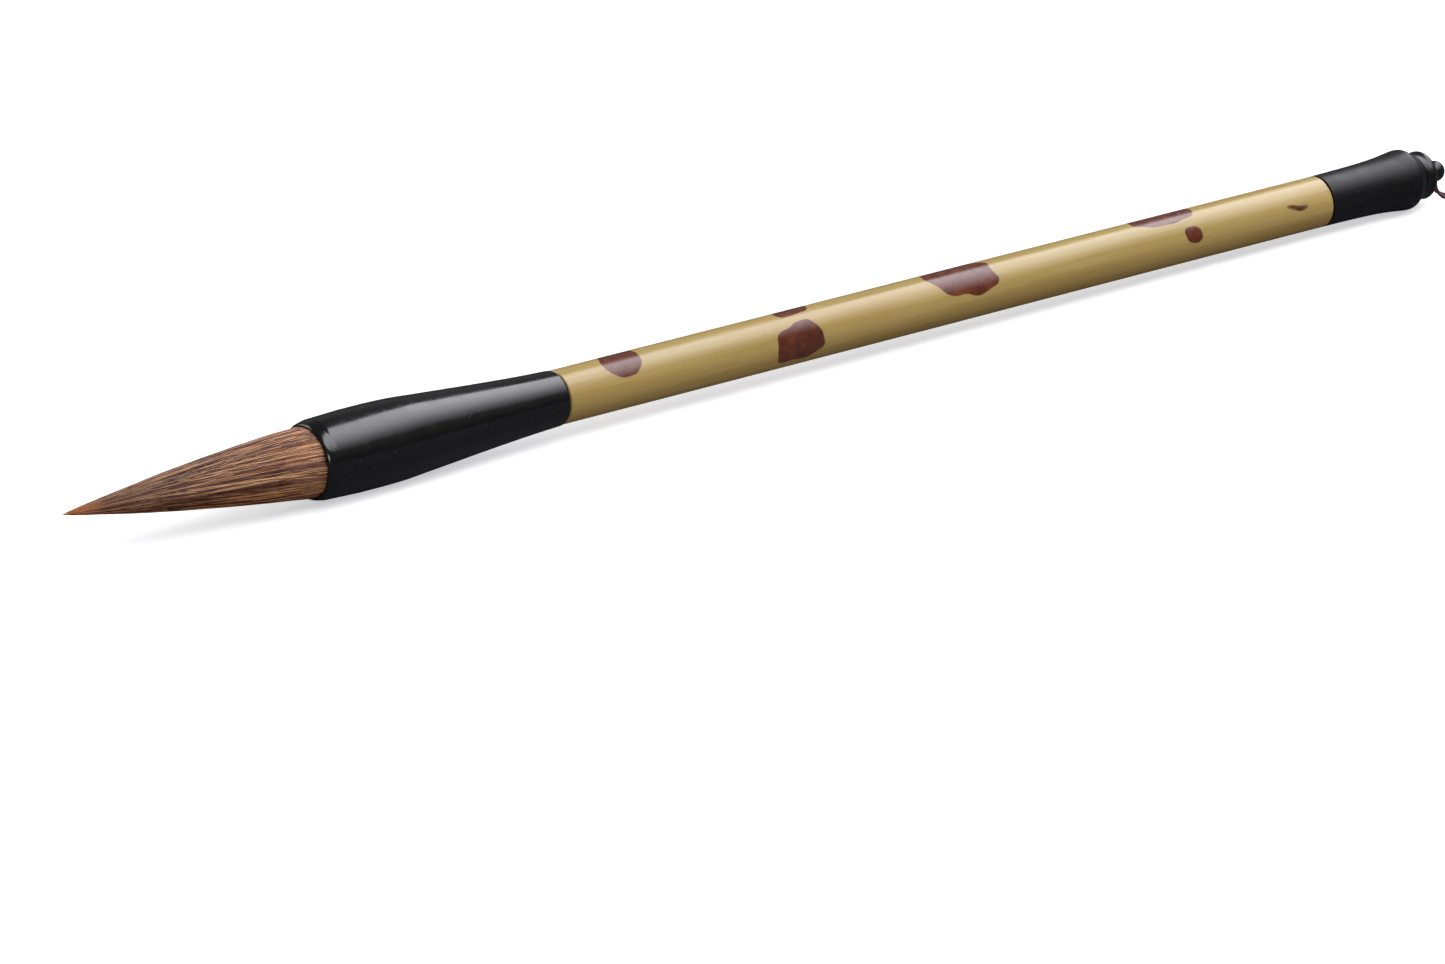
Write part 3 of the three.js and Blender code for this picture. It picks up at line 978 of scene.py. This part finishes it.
def packed_hair_painted_shade():
    """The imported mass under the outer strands, with fine ridges that run to the point."""
    work = bmesh.new()
    rings, along, tones = [], [], []
    for i in range(PACKED_RINGS):
        s = PACKED_START + (PACKED_END - PACKED_START) * i / (PACKED_RINGS - 1)
        radius = read_line(HAIR_LINE, s) * PACKED_SHARE
        ring = []
        for k in range(PACKED_SIDES):
            angle = 2 * math.pi * k / PACKED_SIDES
            seat = Vector((s * 0.035, math.cos(angle) * 6, math.sin(angle) * 6))
            ridge = noise.noise(seat * 2.2) * 0.6 + noise.noise(seat * 5) * 0.4
            r = radius * (1 + 0.035 * ridge) if radius > 0.1 else radius
            ring.append(work.verts.new(in_tuft(s, r * math.cos(angle), r * math.sin(angle))))
            along.append(share_along(s))
            tones.append(0.5 + 0.5 * ridge)
        rings.append(ring)
    skin_tube(work, rings)
    piece = new_piece("packed_hair_painted_shade", work, PACKED_HAIR_PAINTED_SHADE)
    point_values(piece, "along", along)
    point_values(piece, "own_tone", tones)
    bend_with_tuft(piece)
    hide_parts("padding_hair", "core_hair")


# ---- Pieces inside the ferrule, the bamboo and the cap keep their own shape ----
def finish_inner_pieces():
    """Gives the hidden CAD pieces their materials."""
    wood = plain_wood_material()
    thread = hidden_material("binding_thread", (9.0, 0.6, 0.6), (3.0,), [
        (0.3, colour(176, 160, 128)), (0.7, colour(226, 214, 188)),
    ], (0.75, 0.9), 0.08, Sheen_Weight=0.2)
    rosin = hidden_material("brown_rosin", (0.7, 0.7, 0.7), (4.0, 0.6), [
        (0.3, colour(70, 36, 14)), (0.7, colour(128, 74, 30)),
    ], (0.18, 0.4), 0.15, IOR=1.54)
    root = hidden_material("bound_root_hair", (0.25, 6.0, 6.0), (3.0,), [
        (0.3, colour(34, 22, 16)), (0.7, colour(104, 74, 54)),
    ], (0.5, 0.7), 0.1)
    finishes = {"front_dowel": wood, "rear_dowel": wood, "root_thread": thread,
                "root_seal": rosin, "hair_root": root}
    for name, material in finishes.items():
        for holder in frame["nodes"][name].material_slots:
            holder.material = material


# ---- Floor and light ----
TABLE_HALF = 30.0
ROOM_TINT = (0.98, 0.99, 1.0, 1.0)
TABLE_TINT = (0.985, 0.99, 1.0, 1.0)
TABLE_CLOTH = grey(0.7)
TABLE_MIRRORED = (0.11, 0.115, 0.125, 1.0)  # what the brush's underside mirrors
TABLE_BOUNCED = (0.24, 0.18, 0.12, 1.0)  # what lights the brush from below


def floor():
    """A wide pale table top, which glows a little more towards its far edges."""
    material = bpy.data.materials.new("pale_table")
    material.use_nodes = True
    n = Nodes(material.node_tree)
    n.tree.nodes.remove(n.tree.nodes["Principled BSDF"])
    seen = n.add("ShaderNodeLightPath")

    def cloth(shade):
        return n.add("ShaderNodeBsdfDiffuse", {"Color": shade}).outputs[0]

    def either(kind, first, second):
        both = n.add("ShaderNodeMixShader")
        for socket, value in zip(both.inputs, (seen.outputs[kind], first, second)):
            n.set(socket, value)
        return both.outputs[0]

    middle = n.vector("LENGTH", n.add("ShaderNodeTexCoord").outputs["Object"], result=1)
    glow = n.add("ShaderNodeEmission", {"Color": TABLE_TINT,
                                        "Strength": n.ease(middle, 0.7, 3.0, 0.52, 0.97)})
    bright = n.add("ShaderNodeAddShader")
    n.set(bright.inputs[0], cloth(TABLE_CLOTH))
    n.set(bright.inputs[1], glow.outputs[0])
    look = either("Is Glossy Ray", bright.outputs[0], cloth(TABLE_MIRRORED))
    look = either("Is Diffuse Ray", look, cloth(TABLE_BOUNCED))
    n.set(n.tree.nodes["Material Output"].inputs["Surface"], look)
    mesh = bpy.data.meshes.new("table_top")
    corners = [(-1, -1), (1, -1), (1, 1), (-1, 1)]
    mesh.from_pydata([(x * TABLE_HALF, y * TABLE_HALF, 0) for x, y in corners],
                     [], [(0, 1, 2, 3)])
    mesh.materials.append(material)
    put_in_scene("table_top", mesh)


def surroundings():
    """A pale room for the eye, dark for mirror-like finishes."""
    world = bpy.data.worlds.new("studio")
    bpy.context.scene.world = world
    world.use_nodes = True
    n = Nodes(world.node_tree)
    back = n.tree.nodes["Background"].inputs
    path = n.add("ShaderNodeLightPath").outputs
    level = n.ease(path["Is Camera Ray"], 0.0, 1.0, 0.16, 1.0)
    sky = n.add("ShaderNodeSeparateXYZ",
                {"Vector": n.add("ShaderNodeTexCoord").outputs["Generated"]})
    high = n.colours(sky.outputs["Z"], [
        (0.0, grey(0.03)), (0.35, grey(0.20)), (0.55, grey(0.17)), (0.8, grey(0.13)),
    ])
    back["Color"].default_value = ROOM_TINT
    n.set(back["Strength"], n.blend(path["Is Glossy Ray"], level, high))


def panel(name, middle, facing, up, size, radiance, tint, fade=None):
    """A soft light panel. fade sets how its brightness runs over its height."""
    data = bpy.data.lights.new(name, "AREA")
    data.shape = "RECTANGLE"
    data.size, data.size_y = size
    data.color = tint
    data.energy = radiance * math.pi * size[0] * size[1]
    data.use_nodes = True
    if fade:
        n = Nodes(data.node_tree)
        spot = n.add("ShaderNodeSeparateXYZ",
                     {"Vector": n.add("ShaderNodeNewGeometry").outputs["Parametric"]})
        n.set(n.tree.nodes["Emission"].inputs["Strength"],
              n.colours(spot.outputs["Y"], fade))
    light = put_in_scene(name, data)
    back = (Vector(middle) - Vector(facing)).normalized()
    side = Vector(up).cross(back).normalized()
    light.matrix_world = Matrix.Translation(middle) @ Matrix(
        (side, back.cross(side), back)).transposed().to_4x4()
    light.visible_camera = False


def lights():
    """A broad overhead panel that fades towards the front, and two small ones."""
    upright = (0, 0, 1)
    ball = on_shaft(BALL_STATION)
    panel("overhead", (1.417, -0.403, 1.2), (1.417, -0.403, 0.0), (-0.659, 0.752, 0),
          (3.4, 2.0), 5.0, (1.0, 0.985, 1.05), [
              (0.0, grey(0.07)), (0.088, grey(0.104)), (0.385, grey(0.32)),
              (0.58, grey(0.64)), (0.72, grey(0.86)), (0.84, grey(1.0)),
          ])
    panel("front", ball + Vector((-0.7, -1.25, 0.45)), ball, upright, (0.3, 0.3), 12.0,
          (1.0, 1.0, 1.0))
    panel("rear", (-0.7, 1.35, 1.0), (0, 0, 0), upright, (1.0, 1.1), 3.0,
          (1.0, 0.99, 0.97))


HORN_POLISHED = horn_material("polished_horn", rough=0.17, dust=1.1)
HORN_SATIN = horn_material("satin_horn", rough=0.40, dust=0.8, shine=0.27)
HORN_HANDLED = horn_material("handled_horn", rough=0.23, dust=0.6, shine=0.42)
HAIR = hair_material()
PACKED_HAIR_PAINTED_SHADE = inner_hair_painted_shade_material()

make_camera()
hanging_loop()
floor()
surroundings()
lights()
ferrule()
bamboo_handle()
tail_cap()
finial()
packed_hair_painted_shade()
cover_strands()
stray_strands()
finish_inner_pieces()

bpy.context.scene.view_settings.view_transform = "Standard"
